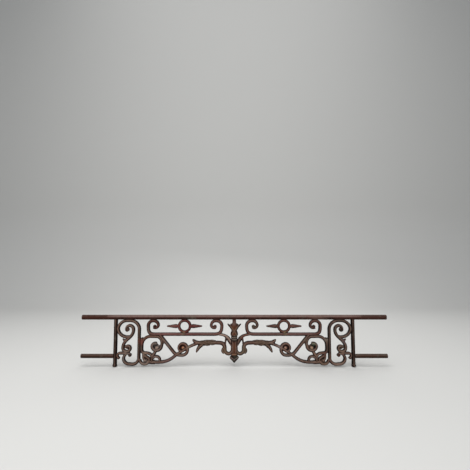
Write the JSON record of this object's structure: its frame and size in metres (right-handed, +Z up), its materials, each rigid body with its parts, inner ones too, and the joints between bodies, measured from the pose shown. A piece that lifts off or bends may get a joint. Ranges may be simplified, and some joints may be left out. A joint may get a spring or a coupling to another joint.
{
  "type": "cast iron window guard",
  "caption": "Low cast iron guard for a French window: scrollwork between two posts, under a round rail that spans the opening from jamb to jamb.",
  "frame": {"origin": "centre of the flat left end of the top rail, where it meets the left jamb", "axes": "+X along the rail to the right jamb, +Y from the street towards the window, +Z up"},
  "size_m": [1.09, 0.024, 0.1825],
  "materials": {
    "rusty_iron": "rusted and pitted, dark red-brown",
    "old_primer": "rusted, with worn remains of red primer"
  },
  "bodies": {
    "root": {"top_rail": "old_primer", "left_post": "rusty_iron", "right_post": "rusty_iron", "left_lower_bar": "rusty_iron", "right_lower_bar": "rusty_iron", "left_outer_scroll": "rusty_iron", "right_outer_scroll": "rusty_iron", "left_s_scroll": "rusty_iron", "right_s_scroll": "rusty_iron", "left_corner_curl": "rusty_iron", "right_corner_curl": "rusty_iron", "left_arch_scroll": "rusty_iron", "right_arch_scroll": "rusty_iron", "left_diagonal_volute": "rusty_iron", "right_diagonal_volute": "rusty_iron", "left_loop_scroll": "rusty_iron", "right_loop_scroll": "rusty_iron", "left_half_ring": "rusty_iron", "right_half_ring": "rusty_iron", "left_upper_scroll": "old_primer", "right_upper_scroll": "old_primer", "left_spindle_ring": "old_primer", "right_spindle_ring": "old_primer", "left_leaf_branch": "rusty_iron", "right_leaf_branch": "rusty_iron", "left_shoulder_branch": "rusty_iron", "right_shoulder_branch": "rusty_iron", "centre_finial": "rusty_iron", "centre_collar": "rusty_iron", "centre_body": "rusty_iron", "centre_pendant": "rusty_iron"}
  },
  "joints": []
}
